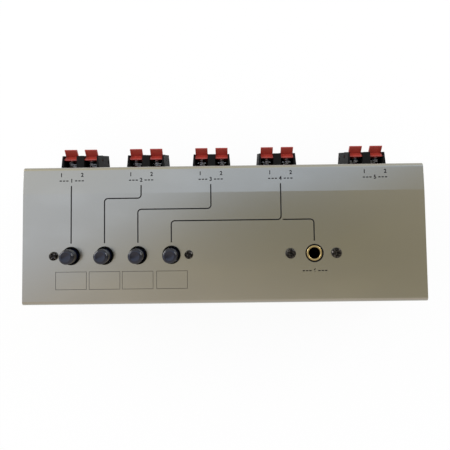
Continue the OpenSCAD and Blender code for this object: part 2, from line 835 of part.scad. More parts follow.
module lower_lever_springs() {
    color(steel) for (x = block_xs) for (side = [0, 1])
        translate([x + cell_x(side), rear_y + cell_back + spring_seat_gap, block_z + lever_spring_z])
            rotate([-90, 0, 0]) difference() {
                cylinder(r = lever_spring_r + lever_wire_r, h = spring_l);
                bore(0, 0, 0, lever_spring_r - lever_wire_r, spring_l);
            }
}

// A point at share s along the smooth curve that four points steer.
function curve_at(p, s) =
    pow(1 - s, 3) * p[0] + 3 * s * pow(1 - s, 2) * p[1] + 3 * s * s * (1 - s) * p[2] + pow(s, 3) * p[3];

// The wires of one block: straight out between its solder lugs, then over to the switch board.
function bundle_path(i) =
    let (
        root = [block_xs[i], rear_y - inner_l - bundle_start_gap, block_z + row_pitch],
        start = root + [0, -lug_l, 0],
        end = [
            bank_x + bundle_ends[i], controls_y + board_l / 2 - bundle_r - bundle_edge,
            board_z + board_t + bundle_r
        ],
        steer = [
            start, start + [0, -bundle_lead_out, bundle_rises[i]],
            end + [0, bundle_lead_in, bundle_rises[i]], end
        ]
    ) concat([root], [for (k = [0:bundle_rings]) curve_at(steer, k / bundle_rings)]);

module wiring() {
    color(red) for (i = [0:len(block_xs) - 1]) tube(bundle_path(i), bundle_r, bundle_sides, [0, 0, 1]);
}

top_cover();
base_tray();
cover_screws();
rubber_feet();
foot_screws();
button_collars();
switch_bracket();
bracket_screws();
switch_pins();
switch_board();
return_springs();
jack_body();
jack_sleeve();
jack_contacts();
jack_screws();
phones_board();
phones_resistors();
terminal_contacts();
terminal_screws();
upper_lever_springs();
lower_lever_springs();
wiring();
for (i = buttons) {
    button(i);
    plunger(i);
    switch_body(i);
}
for (b = [0:len(block_names) - 1]) {
    terminal_block(block_xs[b]);
    for (row = rows) for (side = [0, 1]) {
        name = str("lever_", block_names[b], "_", row_names[row], "_", side_names[side]);
        lever(b, row, side);
    }
}
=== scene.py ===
import json
from math import cos, pi, radians, sin, tau

import bmesh
import bpy
from mathutils import Euler, Matrix, Vector

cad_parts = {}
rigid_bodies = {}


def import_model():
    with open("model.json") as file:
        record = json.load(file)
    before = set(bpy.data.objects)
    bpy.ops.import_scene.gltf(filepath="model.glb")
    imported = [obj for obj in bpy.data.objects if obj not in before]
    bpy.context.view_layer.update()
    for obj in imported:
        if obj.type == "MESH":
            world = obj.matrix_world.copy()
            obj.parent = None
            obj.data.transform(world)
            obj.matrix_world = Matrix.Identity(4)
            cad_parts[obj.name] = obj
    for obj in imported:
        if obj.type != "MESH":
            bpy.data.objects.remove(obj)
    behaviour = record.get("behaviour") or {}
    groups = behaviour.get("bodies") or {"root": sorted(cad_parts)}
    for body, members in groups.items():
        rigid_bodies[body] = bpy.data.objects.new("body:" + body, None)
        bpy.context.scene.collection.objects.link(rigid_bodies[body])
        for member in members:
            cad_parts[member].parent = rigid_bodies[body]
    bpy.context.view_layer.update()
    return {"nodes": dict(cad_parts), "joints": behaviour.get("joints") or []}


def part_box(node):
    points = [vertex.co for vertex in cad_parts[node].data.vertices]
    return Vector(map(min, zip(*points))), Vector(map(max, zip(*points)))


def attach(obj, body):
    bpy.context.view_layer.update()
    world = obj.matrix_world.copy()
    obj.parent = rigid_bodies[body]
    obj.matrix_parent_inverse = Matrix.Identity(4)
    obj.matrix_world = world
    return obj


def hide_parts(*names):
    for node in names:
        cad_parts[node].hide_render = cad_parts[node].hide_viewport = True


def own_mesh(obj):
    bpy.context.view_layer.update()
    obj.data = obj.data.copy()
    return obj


mm = 0.001
for leftover in list(bpy.data.objects):
    bpy.data.objects.remove(leftover)
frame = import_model()


# --- Base tray -------------------------------------------------------------------------------------
# The bottom and the two ends of the case, folded from one sheet of steel and sprayed with a satin
# metallic paint, a shade darker than the cover's. Its holes take six screws for the cover and four for
# the feet.
class Wire:
    """A socket in a material. Sums and products of wires add the Math nodes that they need."""

    def __init__(self, tree, socket=None):
        self.tree, self.socket = tree, socket

    def node(self, kind, settings=None, sockets=None, output=0):
        """Adds a node: first its settings, then the values or links of its sockets."""
        made = self.tree.nodes.new(kind)
        for name, value in (settings or {}).items():
            setattr(made, name, value)
        for key, value in (sockets or {}).items():
            self.feed(made.inputs[key], value)
        return Wire(self.tree, made.outputs[output])

    def feed(self, socket, value):
        if isinstance(value, Wire):
            self.tree.links.new(value.socket, socket)
        else:
            socket.default_value = value

    def math(self, operation, *values):
        return self.node("ShaderNodeMath", {"operation": operation}, dict(enumerate(values)))

    def __add__(self, other):
        return self.math("ADD", self, other)

    def __mul__(self, other):
        return self.math("MULTIPLY", self, other)

    def __sub__(self, other):
        return self.math("SUBTRACT", self, other)

    def __rsub__(self, other):
        return self.math("SUBTRACT", other, self)

    __radd__ = __add__
    __rmul__ = __mul__

    def at_most(self, limit):
        return self.math("MINIMUM", self, limit)

    def at_least(self, limit):
        return self.math("MAXIMUM", self, limit)

    def colour(self, red, green, blue):
        """A colour from its three parts."""
        return self.node("ShaderNodeCombineColor", {}, {0: red, 1: green, 2: blue})

    def rising(self, low, high):
        """0 below low, 1 above high, and a smooth rise between them."""
        settings = {"interpolation_type": "SMOOTHSTEP"}
        return self.node("ShaderNodeMapRange", settings, {"Value": self, "From Min": low, "From Max": high})

    def tint(self, low, high):
        """The colour between two others, at this wire's share."""
        low, high = [c if isinstance(c, Wire) else (*c, 1) for c in (low, high)]
        return self.node("ShaderNodeMix", {"data_type": "RGBA"}, {0: self, 6: low, 7: high}, output=2)


def new_finish(name, **constants):
    """A material's Principled shader, with what stays the same all over, and its Object coordinates."""
    material = bpy.data.materials.new(name)
    material.use_nodes = True
    shader = material.node_tree.nodes["Principled BSDF"]
    for socket, value in constants.items():
        shader.inputs[socket.replace("_", " ")].default_value = value
    return material, shader, Wire(material.node_tree).node("ShaderNodeTexCoord", output="Object")


def speckle(place, size, detail=2.0, stretch=(1, 1, 1)):
    """Noise with lumps of about that size, drawn out by the stretch along each axis."""
    scale = [1 / (size * s) for s in stretch]
    at = place.node("ShaderNodeMapping", {}, {"Vector": place, "Scale": scale})
    return place.node("ShaderNodeTexNoise", {}, {"Vector": at, "Scale": 1.0, "Detail": detail})


def relief(shader, height, depth):
    """Raises the surface by a wire that runs from 0 to 1, over that depth."""
    sockets = {"Height": height, "Distance": depth, "Strength": 1.0}
    height.feed(shader.inputs["Normal"], height.node("ShaderNodeBump", {}, sockets))


def even_finish(name, colour, roughness, grain=0.15 * mm, depth=0.004 * mm, shade=0.12, **constants):
    """A finish of one colour, with a fine grain and slow changes of tone and gloss."""
    material, shader, place = new_finish(name, **constants)
    patches, fine = speckle(place, 9 * mm, 3.0), speckle(place, grain, 2.0)
    tone = patches * 0.5 + fine * 0.5
    tone.feed(shader.inputs["Base Color"],
        tone.tint([c * (1 - shade) for c in colour], [c * (1 + shade) for c in colour]))
    tone.feed(shader.inputs["Roughness"], (patches - 0.5) * 0.12 + (fine - 0.5) * 0.1 + roughness)
    relief(shader, fine, depth)
    return material


def paint(name, colour):
    """Satin metallic paint: flakes that glint, a slight orange peel and faint rubbed patches."""
    material, shader, place = new_finish(name, Metallic=1.0)
    flakes, peel = speckle(place, 0.12 * mm, 1.0), speckle(place, 0.9 * mm, 2.0)
    rubbed = speckle(place, 26 * mm, 4.0, (1.6, 0.8, 1)).rising(0.4, 0.75)
    tone = flakes * 0.7 + rubbed * 0.3
    tone.feed(shader.inputs["Base Color"],
        tone.tint([c * 0.9 for c in colour], [c * 1.1 for c in colour]))
    tone.feed(shader.inputs["Roughness"], 0.23 - rubbed * 0.02 + (flakes - 0.5) * 0.06)
    relief(shader, flakes * 0.6 + peel * 0.4, 0.004 * mm)
    return material


def shaded(bm, crisp=30):
    """Shades a shape smooth, but for the edges that turn by more than the crisp angle."""
    for face in bm.faces:
        face.smooth = True
    for edge in bm.edges:
        edge.smooth = edge.calc_face_angle(0) < radians(crisp)


def add_piece(name, bm, finish, body="case", nodes=()):
    """Makes a shape a piece that rides on a body and stands for the nodes named."""
    mesh = bpy.data.meshes.new(name)
    bm.to_mesh(mesh)
    bm.free()
    mesh.materials.append(finish)
    piece = bpy.data.objects.new(name, mesh)
    bpy.context.scene.collection.objects.link(piece)
    piece.modifiers.new("even_faces", "WEIGHTED_NORMAL").keep_sharp = True
    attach(piece, body)
    if nodes:
        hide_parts(*nodes)
    return piece


weld, flat_angle = 0.002 * mm, radians(0.5)


def softened(node, edge, segments=2, from_angle=40):
    """A merged copy of a node, with its sharp edges rounded by that much."""
    bm = bmesh.new()
    bm.from_mesh(frame["nodes"][node].data)
    bmesh.ops.remove_doubles(bm, verts=bm.verts, dist=weld)
    bmesh.ops.dissolve_limit(bm, angle_limit=flat_angle, verts=bm.verts, edges=bm.edges)
    sharp = [e for e in bm.edges if e.calc_face_angle(0) > radians(from_angle)]
    bmesh.ops.bevel(bm, geom=sharp, offset=edge, affect="EDGES", segments=segments, profile=0.5,
        material=-1, clamp_overlap=True)
    shaded(bm)
    return bm


tray_paint = paint("tray_paint", (0.32, 0.305, 0.26))
add_piece("tray_shell", softened("base_tray", 0.15 * mm), tray_paint, "case", ["base_tray"])


# --- Rubber feet and their screws --------------------------------------------------------------------
# Four moulded rubber feet. Each is held by a zinc-plated screw that sits deep in it, so that only
# rubber meets the table.
rubber = even_finish("foot_rubber", (0.02, 0.02, 0.02), 0.75, grain=0.3 * mm, depth=0.02 * mm, shade=0.3)
add_piece("feet", softened("rubber_feet", 0.2 * mm), rubber, "case", ["rubber_feet"])


def plated(name, colour, roughness=0.28):
    """Plated metal, with the faint spangle of the plating."""
    material, shader, place = new_finish(name, Metallic=1.0)
    settings, sockets = {"feature": "F1"}, {"Vector": place, "Scale": 1 / (0.7 * mm)}
    spangle = place.node("ShaderNodeTexVoronoi", settings, sockets)
    fine = speckle(place, 0.2 * mm, 2.0)
    tone = spangle * 0.4 + fine * 0.5
    tone.feed(shader.inputs["Base Color"],
        tone.tint([c * 0.88 for c in colour], [min(1, c * 1.12) for c in colour]))
    tone.feed(shader.inputs["Roughness"], spangle * 0.12 + (fine - 0.5) * 0.1 + roughness)
    relief(shader, fine, 0.003 * mm)
    return material


zinc = plated("zinc_plating", (0.56, 0.57, 0.58), 0.3)
add_piece("foot_screw_set", softened("foot_screws", 0.1 * mm), zinc, "case", ["foot_screws"])


# --- Switch bracket and its screws -------------------------------------------------------------------
# A zinc-plated steel bracket under the panel, which carries the four switches. Two black screws with a
# cross recess come through the panel, one at each end of the row of buttons.
add_piece("bracket_plate", softened("switch_bracket", 0.12 * mm), zinc, "case", ["switch_bracket"])


def black_oxide(name):
    """Blackened steel: dark and slightly oily, with the steel just showing through."""
    material, shader, place = new_finish(name, Metallic=1.0)
    fine, worn = speckle(place, 0.1 * mm, 2.0), speckle(place, 0.7 * mm, 2.0).rising(0.48, 0.62)
    worn.feed(shader.inputs["Base Color"], worn.tint((0.010, 0.009, 0.008), (0.11, 0.10, 0.09)))
    worn.feed(shader.inputs["Roughness"], 0.34 - worn * 0.08 + (fine - 0.5) * 0.15)
    relief(shader, fine, 0.004 * mm)
    return material


blackened = black_oxide("blackened_steel")
add_piece("bracket_screw_pair", softened("bracket_screws", 0.12 * mm), blackened, "case",
    ["bracket_screws"])


# --- Push switches -----------------------------------------------------------------------------------
# Four latching push switches in a row, moulded in dark grey. An ivory plunger slides in each, and a
# spring of steel wire below the plunger's stop pushes it up again.
channels = ["a", "b", "c", "d"]
switch_grey = even_finish("switch_plastic", (0.075, 0.075, 0.085), 0.5, grain=0.12 * mm)
ivory = even_finish("ivory_plastic", (0.72, 0.70, 0.62), 0.4, grain=0.2 * mm, shade=0.05)
spring_steel = plated("spring_steel", (0.24, 0.23, 0.24), 0.32)


def coil(axis, foot, length, radius, wire_r, turns, steps_per_turn=20, sides=8):
    """A helical spring that stands on the point foot and rises along the axis."""
    axis, foot = Vector(axis), Vector(foot)
    across = axis.orthogonal().normalized()
    start = foot + axis * wire_r + across * radius
    bm = bmesh.new()
    square_on = axis.cross(across).to_track_quat("Z", "Y").to_matrix().to_4x4()
    place = Matrix.Translation(start) @ square_on
    ring = bmesh.ops.create_circle(bm, segments=sides, radius=wire_r, matrix=place)
    steps = round(turns * steps_per_turn)
    bmesh.ops.spin(bm, geom=list(bm.edges) + ring["verts"], cent=foot, axis=axis, angle=tau * turns,
        steps=steps, dvec=axis * (length - 2 * wire_r) / steps, use_duplicate=False)
    bmesh.ops.holes_fill(bm, edges=bm.edges)
    bmesh.ops.recalc_face_normals(bm, faces=bm.faces)
    shaded(bm, crisp=50)
    return bm


return_low, return_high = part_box("return_springs")
return_wire_r, return_turns = 0.25 * mm, 6.5
return_r = (return_high.y - return_low.y) / 2 - return_wire_r
for name in channels:
    add_piece(f"switch_{name}_housing", softened("switch_body_" + name, 0.2 * mm), switch_grey, "case",
        ["switch_body_" + name])
    add_piece(f"switch_{name}_plunger", softened("plunger_" + name, 0.15 * mm), ivory,
        "push_button_" + name, ["plunger_" + name])
    low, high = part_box("button_" + name)
    foot = Vector(((low.x + high.x) / 2, (low.y + high.y) / 2, return_low.z))
    length = return_high.z - return_low.z
    spring = add_piece(f"return_spring_{name}",
        coil((0, 0, 1), foot, length, return_r, return_wire_r, return_turns), spring_steel, "case",
        ["return_springs"])
    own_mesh(spring)


# --- Switch board and its pins -----------------------------------------------------------------------
# A circuit board of green laminate under the switches. Their gold-plated pins go through it and are
# soldered below.
def board_finish(name):
    """Green lacquer over copper tracks, which show as a paler green."""
    material, shader, place = new_finish(name, Coat_Roughness=0.1)
    settings = {"offset": 0.5, "squash": 0.6, "squash_frequency": 3}
    sockets = {"Vector": place, "Scale": 1 / (9 * mm), "Mortar Size": 0.06, "Mortar Smooth": 0.1,
        "Color1": (0, 0, 0, 1), "Color2": (0, 0, 0, 1), "Mortar": (1, 1, 1, 1)}
    tracks = place.node("ShaderNodeTexBrick", settings, sockets)
    weave = speckle(place, 0.5 * mm, 2.0)
    tone = tracks * 0.7 + weave * 0.3
    tone.feed(shader.inputs["Base Color"], tone.tint((0.018, 0.075, 0.03), (0.07, 0.20, 0.07)))
    tone.feed(shader.inputs["Roughness"], 0.42 - tracks * 0.1 + (weave - 0.5) * 0.1)
    relief(shader, tracks, 0.03 * mm)
    return material


laminate = board_finish("green_laminate")
gold_plate = plated("gold_plating", (0.80, 0.55, 0.20), 0.22)
add_piece("switch_board_plate", softened("switch_board", 0.1 * mm), laminate, "case", ["switch_board"])
add_piece("switch_pin_set", softened("switch_pins", 0.08 * mm), gold_plate, "case", ["switch_pins"])


# --- Headphone jack ----------------------------------------------------------------------------------
# A moulded black body with a flange, held under the panel by two black screws. Its round nose fills a
# hole in the panel and holds a turned, gold-coloured sleeve, whose gold is darkened below the pins' as
# painted shade. Three tin-plated contacts stand in the body, and two of them are sprung leaves.
black_mould = even_finish("black_moulding", (0.005, 0.005, 0.005), 0.6, grain=0.12 * mm, depth=0.006 * mm,
    shade=0.2, Specular_IOR_Level=0.1)
add_piece("jack_housing", softened("jack_body", 0.15 * mm), black_mould, "case", ["jack_body"])


def arc(centre_r, centre_z, radius, start, end, steps=5):
    """Points of a turned outline, round a centre and from one angle to another."""
    angles = [radians(start + (end - start) * k / steps) for k in range(steps + 1)]
    return [(centre_r + radius * cos(a), centre_z + radius * sin(a)) for a in angles]


def turned(centre, outline, steps=72):
    """A round shape, turned about a vertical axis from an outline of (radius, height) points."""
    bm = bmesh.new()
    verts = [bm.verts.new((centre.x + r, centre.y, centre.z + z)) for r, z in outline]
    for k, vert in enumerate(verts):
        bm.edges.new((vert, verts[(k + 1) % len(verts)]))
    bmesh.ops.spin(bm, geom=bm.verts[:] + bm.edges[:], cent=centre, axis=(0, 0, 1), angle=tau,
        steps=steps, use_merge=True)
    bmesh.ops.remove_doubles(bm, verts=bm.verts, dist=weld / 2)
    bmesh.ops.recalc_face_normals(bm, faces=bm.faces)
    shaded(bm)
    return bm


sleeve_low, sleeve_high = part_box("jack_sleeve")
sleeve_l = sleeve_high.z - sleeve_low.z
sleeve_r = (sleeve_high.x - sleeve_low.x) / 2
bore_r, lip_r, foot_chamfer = 3.25 * mm, 0.42 * mm, 0.3 * mm
jack_foot = Vector(((sleeve_low.x + sleeve_high.x) / 2, (sleeve_low.y + sleeve_high.y) / 2, sleeve_low.z))
sleeve_outline = [
    (bore_r + foot_chamfer, 0), (sleeve_r - foot_chamfer, 0), (sleeve_r, foot_chamfer),
    *arc(sleeve_r - lip_r, sleeve_l - lip_r, lip_r, 0, 90),
    *arc(bore_r + lip_r, sleeve_l - lip_r, lip_r, 90, 180), (bore_r, foot_chamfer)
]
# The sleeve's hue is its own, but its darkness, well below the pins' gold, is painted shade for the dim
# room its rounded lip mirrors.
sleeve_gold_painted_dim = plated("sleeve_gold_painted_dim", (0.44, 0.335, 0.15), 0.16)
add_piece("sleeve_ring", turned(jack_foot, sleeve_outline), sleeve_gold_painted_dim, "case", ["jack_sleeve"])
tinned = plated("tin_plating", (0.38, 0.37, 0.35), 0.3)
add_piece("jack_leaves", softened("jack_contacts", 0.05 * mm), tinned, "case", ["jack_contacts"])
add_piece("jack_screw_pair", softened("jack_screws", 0.12 * mm), blackened, "case", ["jack_screws"])


# --- Board for the headphones ------------------------------------------------------------------------
# A second board below the jack, with two ceramic power resistors that turn down the loudspeaker signal
# for headphones.
add_piece("phones_board_plate", softened("phones_board", 0.1 * mm), laminate, "case", ["phones_board"])
ceramic = even_finish("resistor_ceramic", (0.70, 0.68, 0.60), 0.8, grain=0.35 * mm, depth=0.03 * mm)
add_piece("resistor_pair", softened("phones_resistors", 0.35 * mm), ceramic, "case",
    ["phones_resistors"])


# --- Terminal blocks ---------------------------------------------------------------------------------
# Five black mouldings that reach through the rear wall, each with four cells for four levers. A screw
# on either side holds the flange of each against the inside of the wall, and each cell has a tin-plated
# contact strip with a solder lug.
blocks = ["a", "b", "c", "d", "amp"]
for name in blocks:
    add_piece(f"terminals_{name}_housing", softened("terminal_block_" + name, 0.2 * mm), black_mould,
        "case", ["terminal_block_" + name])
add_piece("block_screw_set", softened("terminal_screws", 0.12 * mm), blackened, "case",
    ["terminal_screws"])
add_piece("contact_strips", softened("terminal_contacts", 0.08 * mm), tinned, "case",
    ["terminal_contacts"])


# --- Levers and their springs ------------------------------------------------------------------------
# Each cell has a moulded lever on two pivot pins, red in the upper row and black in the lower one. Its
# tip has a dip for the finger, and a helical spring behind it closes the clamp on the wire.
def gloss_moulding(name, colour, roughness, **constants):
    """Moulded plastic with a shine, a little dulled where fingers press it."""
    material, shader, place = new_finish(name, **constants)
    handled, fine = speckle(place, 2.5 * mm, 4.0), speckle(place, 0.12 * mm, 2.0)
    tone = handled * 0.6 + fine * 0.4
    tone.feed(shader.inputs["Base Color"],
        tone.tint([c * 0.8 for c in colour], [min(1, c * 1.2) for c in colour]))
    tone.feed(shader.inputs["Roughness"], roughness + (handled - 0.5) * 0.2 + (fine - 0.5) * 0.06)
    relief(shader, handled * 0.3 + fine * 0.7, 0.004 * mm)
    return material


red_moulding = gloss_moulding("red_moulding", (0.295, 0.030, 0.020), 0.34)
black_lever = gloss_moulding("black_lever_moulding", (0.022, 0.022, 0.024), 0.34)
lever_kinds = [("upper", red_moulding, "red_plastic"), ("lower", black_lever, "black_lever_plastic")]
spring_seat, spring_above_pivot = 1.3 * mm, 6.6 * mm
lever_spring_l, lever_spring_r, lever_wire_r, lever_turns = 4.3 * mm, 1.5 * mm, 0.2 * mm, 3.25
rear_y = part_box("top_cover")[1].y
for block in blocks:
    for row, moulding, lever_slot in lever_kinds:
        for side in ["left", "right"]:
            name = f"lever_{block}_{row}_{side}"
            add_piece(name + "_tab", softened(name, 0.25 * mm, 3), moulding, name, [name])
            low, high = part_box(name)
            pivot_z = next(j for j in frame["joints"] if j["name"] == name + "_press")["pos_m"][2]
            foot = Vector(((low.x + high.x) / 2, rear_y + spring_seat, pivot_z + spring_above_pivot))
            spring = add_piece(f"spring_{block}_{row}_{side}",
                coil((0, 1, 0), foot, lever_spring_l, lever_spring_r, lever_wire_r, lever_turns),
                spring_steel, "case", [row + "_lever_springs"])
            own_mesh(spring)


# --- Wiring ------------------------------------------------------------------------------------------
# Four insulated wires, two in red jackets and two in black ones, run from the lugs of each block to the
# switch board. They are twisted into one bundle.
wire_red = even_finish("wire_jacket_red", (0.33, 0.02, 0.02), 0.4, grain=0.4 * mm)
wire_black = even_finish("wire_jacket_black", (0.02, 0.02, 0.02), 0.4, grain=0.4 * mm)
wire_r, strand_r, twist_l = 0.72 * mm, 1.15 * mm, 26 * mm
lug_end, bundle_start, lead_out, lead_in, bundle_r = 12 * mm, 0.3 * mm, 8 * mm, 9 * mm, 2 * mm
lug_l, board_edge = 4 * mm, 1 * mm
bundle_ends = [-38 * mm, -16 * mm, 6 * mm, 26 * mm, 41 * mm]
bundle_rises = [4 * mm, 4 * mm, 4 * mm, 8 * mm, 22 * mm]
board_low, board_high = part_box("switch_board")
path_steps = 48


def smooth_curve(steer, share):
    """A point along the curve that four points steer."""
    a, b, c, d = steer
    rest = 1 - share
    return a * rest ** 3 + b * 3 * share * rest ** 2 + c * 3 * share ** 2 * rest + d * share ** 3


for block, end_x, rise in zip(blocks, bundle_ends, bundle_rises):
    low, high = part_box("terminal_block_" + block)
    root = Vector(((low.x + high.x) / 2, rear_y - lug_end - bundle_start, (low.z + high.z) / 2))
    start = root - Vector((0, lug_l, 0))
    end = Vector(((board_low.x + board_high.x) / 2 + end_x, board_high.y - bundle_r - board_edge,
        board_high.z + bundle_r))
    steer = [start, start + Vector((0, -lead_out, rise)), end + Vector((0, lead_in, rise)), end]
    middle = [root] + [smooth_curve(steer, k / path_steps) for k in range(path_steps + 1)]
    curve = bpy.data.curves.new(f"wires_{block}", "CURVE")
    curve.dimensions, curve.bevel_depth, curve.bevel_resolution = "3D", wire_r, 3
    curve.use_fill_caps = True
    for strand in range(4):
        spline = curve.splines.new("POLY")
        spline.points.add(len(middle) - 1)
        run = 0
        for k, point in enumerate(middle):
            heading = (middle[min(k + 1, len(middle) - 1)] - middle[max(k - 1, 0)]).normalized()
            side = heading.cross(Vector((0, 0, 1))).normalized()
            run += (point - middle[max(k - 1, 0)]).length
            turn = tau * (strand / 4 + run / twist_l)
            lay = cos(turn) * side + sin(turn) * heading.cross(side)
            spline.points[k].co = (*(point + strand_r * lay), 1)
        spline.use_smooth = True
        spline.material_index = strand % 2
    curve.materials.append(wire_red)
    curve.materials.append(wire_black)
    wires = bpy.data.objects.new(f"wires_{block}", curve)
    bpy.context.scene.collection.objects.link(wires)
    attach(wires, "case")
    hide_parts("wiring")


# --- Top cover ---------------------------------------------------------------------------------------
# One sheet of steel, folded down to the front and rear walls, with a shallow crease in front of the
# rear fold. It is sprayed with a satin, champagne-silver metallic paint.
crease_in, crease_drop = 15.4 * mm, 0.7 * mm
crease_y, crease_slope, crease_near = rear_y - crease_in, crease_drop / crease_in, 0.2 * mm
cover_paint = paint("champagne_paint", (0.35, 0.335, 0.285))
bm = softened("top_cover", 0.15 * mm)
for edge in bm.edges:
    on_crease = all(abs(vert.co.y - crease_y) < crease_near for vert in edge.verts)
    if on_crease and edge.calc_face_angle(0) > radians(1):
        edge.smooth = False
add_piece("cover_shell", bm, cover_paint, "case", ["top_cover"])
add_piece("cover_screw_set", softened("cover_screws", 0.12 * mm), blackened, "case", ["cover_screws"])


# --- Print on the panel ------------------------------------------------------------------------------
# Screen-printed in near-black ink: a line from each loudspeaker block to its button, one more to the
# jack, four frames for the owner's labels, and plain numbers for the terminals and the jack.
ink = even_finish("print_ink", (0.005, 0.005, 0.006), 0.6, grain=0.1 * mm, depth=0.002 * mm, shade=0.3,
    Specular_IOR_Level=0.08)
panel_low, panel_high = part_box("top_cover")
panel_middle = Vector((0, (panel_low.y + panel_high.y) / 2, panel_high.z))
ink_t, ink_lift = 0.03 * mm, 0.004 * mm


def on_panel(x, y):
    """A place on the panel, from its middle, in millimetres."""
    return panel_middle + Vector((x, y, 0)) * mm


def add_print(name, bm):
    """Lays a flat print on the panel and down its slope behind the crease."""
    bmesh.ops.dissolve_degenerate(bm, dist=weld / 2, edges=bm.edges)
    bmesh.ops.bisect_plane(bm, geom=bm.verts[:] + bm.edges[:] + bm.faces[:], dist=weld / 2,
        plane_co=(0, crease_y, 0), plane_no=(0, 1, 0))
    for vert in bm.verts:
        vert.co.z = panel_high.z + ink_lift - max(0, vert.co.y - crease_y) * crease_slope
    raised = bmesh.ops.extrude_face_region(bm, geom=bm.faces[:], use_keep_orig=True)["geom"]
    raised = [g for g in raised if isinstance(g, bmesh.types.BMVert)]
    bmesh.ops.translate(bm, verts=raised, vec=(0, 0, ink_t))
    bmesh.ops.recalc_face_normals(bm, faces=bm.faces)
    shaded(bm)
    add_piece(name, bm, ink)


line_w, line_turn_r = 0.68 * mm, 2 * mm


def draw_line(bm, *stops):
    """Pulls a short edge from stop to stop like a pen, and turns it round a corner at each."""
    stops = [on_panel(x, y) for x, y in stops]
    runs = [b - a for a, b in zip(stops, stops[1:])]
    left = [Vector((-run.y, run.x, 0)).normalized() for run in runs]
    pen = bm.edges.new([bm.verts.new(stops[0] + left[0] * line_w / 2 * s) for s in (1, -1)])
    for k, run in enumerate(runs):
        corners = (k > 0) + (k < len(runs) - 1)
        drawn = bmesh.ops.extrude_edge_only(bm, edges=[pen])["geom"]
        pen = next(g for g in drawn if isinstance(g, bmesh.types.BMEdge))
        straight = run.length - corners * line_turn_r
        bmesh.ops.translate(bm, verts=pen.verts, vec=run.normalized() * straight)
        if k < len(runs) - 1:
            way = 1 if left[k].dot(runs[k + 1]) > 0 else -1
            centre = (pen.verts[0].co + pen.verts[1].co) / 2 + left[k] * line_turn_r * way
            swept = bmesh.ops.spin(bm, geom=[pen, *pen.verts], cent=centre, axis=(0, 0, way),
                angle=pi / 2, steps=8, use_duplicate=False)["geom_last"]
            pen = next(g for g in swept if isinstance(g, bmesh.types.BMEdge))


def middle_x(node):
    """The middle of a node across the panel, in millimetres."""
    low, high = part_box(node)
    return (low.x + high.x) / 2 / mm


rear_end, front_end = 28.5, -4.5
line_levels = {1: 21.0, 2: 14.6, 3: 7.8}
jack_line_gap = 0.9
button_xs = [middle_x("button_" + channel) for channel in channels]
block_xs = [middle_x("terminal_block_" + block) for block in blocks]
jack_x, jack_level = jack_foot.x / mm, line_levels[3]
bm = bmesh.new()
draw_line(bm, (button_xs[0], rear_end), (button_xs[0], front_end))
for column, level in line_levels.items():
    draw_line(bm, (block_xs[column], rear_end), (block_xs[column], level), (button_xs[column], level),
        (button_xs[column], front_end))
draw_line(bm, (block_xs[3] + jack_line_gap, jack_level), (jack_x, jack_level), (jack_x, front_end))
add_print("printed_lines", bm)

frame_w, frame_h, frame_line = 17.7, 10.1, 0.2 * mm
frame_xs, frame_y = [-87.15, -68.05, -49.2, -29.65], -25.55
frame_size = Matrix.Diagonal((frame_w * mm, frame_h * mm, 1, 1))
bm = bmesh.new()
for x in frame_xs:
    at = Matrix.Translation(on_panel(x, frame_y)) @ frame_size
    sheet = bmesh.ops.create_grid(bm, x_segments=1, y_segments=1, size=0.5, matrix=at)
    inner = sheet["verts"][0].link_faces[0]
    bmesh.ops.inset_region(bm, faces=[inner], thickness=frame_line, use_boundary=True,
        use_even_offset=True)
    bmesh.ops.delete(bm, geom=[inner], context="FACES")
add_print("printed_frames", bm)

digit_h, digit_weight = 3.1, 0.09
side_y, label_y, phones_y, side_x = 34.7, 31.4, -21.4, 6.0
dash_w, dash_h, dash_from, dash_gap, dash_count = 1.3, 0.6, 1.9, 0.6, 3


def print_digit(bm, digit, x, y):
    """A plain number, flat on the panel, with its middle at (x, y)."""
    text = bpy.data.curves.new("digit", "FONT")
    text.body, text.size, text.offset = digit, digit_h * mm, digit_weight * mm
    text.align_x = text.align_y = "CENTER"
    letter = bpy.data.objects.new("digit", text)
    flat = letter.to_mesh()
    flat.transform(Matrix.Translation(on_panel(x, y)))
    bm.from_mesh(flat)
    letter.to_mesh_clear()
    bpy.data.objects.remove(letter)


def print_label(bm, digit, x, y):
    """A number between two rows of short dashes."""
    print_digit(bm, digit, x, y)
    size = Matrix.Diagonal((dash_w * mm, dash_h * mm, 1, 1))
    for k in range(dash_count):
        for s in (-1, 1):
            at = on_panel(x + s * (dash_from + dash_w / 2 + k * (dash_w + dash_gap)), y)
            bmesh.ops.create_grid(bm, x_segments=1, y_segments=1, size=0.5,
                matrix=Matrix.Translation(at) @ size)


bm = bmesh.new()
for k, x in enumerate(block_xs):
    print_digit(bm, "1", x - side_x, side_y)
    print_digit(bm, "2", x + side_x, side_y)
    print_label(bm, str(k + 1), x, label_y)
print_label(bm, "6", jack_x, phones_y)
bmesh.ops.remove_doubles(bm, verts=bm.verts, dist=weld)
add_print("printed_numbers", bm)


# --- Button collars ----------------------------------------------------------------------------------
# A black moulded collar is pressed into each hole of the panel, and the button slides through it. Its
# rounded rim lies on the paint.
collar_black = even_finish("collar_plastic", (0.002, 0.002, 0.001), 0.4, grain=0.12 * mm,
    Specular_IOR_Level=0.06)
cap_r, collar_gap, collar_r, collar_neck_r = 4.2 * mm, 0.3 * mm, 5.25 * mm, 4.95 * mm
collar_proud, collar_edge, collar_neck, mouth_edge = 0.4 * mm, 0.25 * mm, 3 * mm, 0.1 * mm
collar_outline = [
    (cap_r + collar_gap, -collar_neck), (collar_neck_r, -collar_neck), (collar_neck_r, 0), (collar_r, 0),
    *arc(collar_r - collar_edge, collar_proud - collar_edge, collar_edge, 0, 90),
    (cap_r + collar_gap + mouth_edge, collar_proud), (cap_r + collar_gap, collar_proud - mouth_edge)
]
for name in channels:
    low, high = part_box("button_" + name)
    foot = Vector(((low.x + high.x) / 2, (low.y + high.y) / 2, panel_high.z))
    add_piece(f"collar_{name}", turned(foot, collar_outline), collar_black, "case", ["button_collars"])
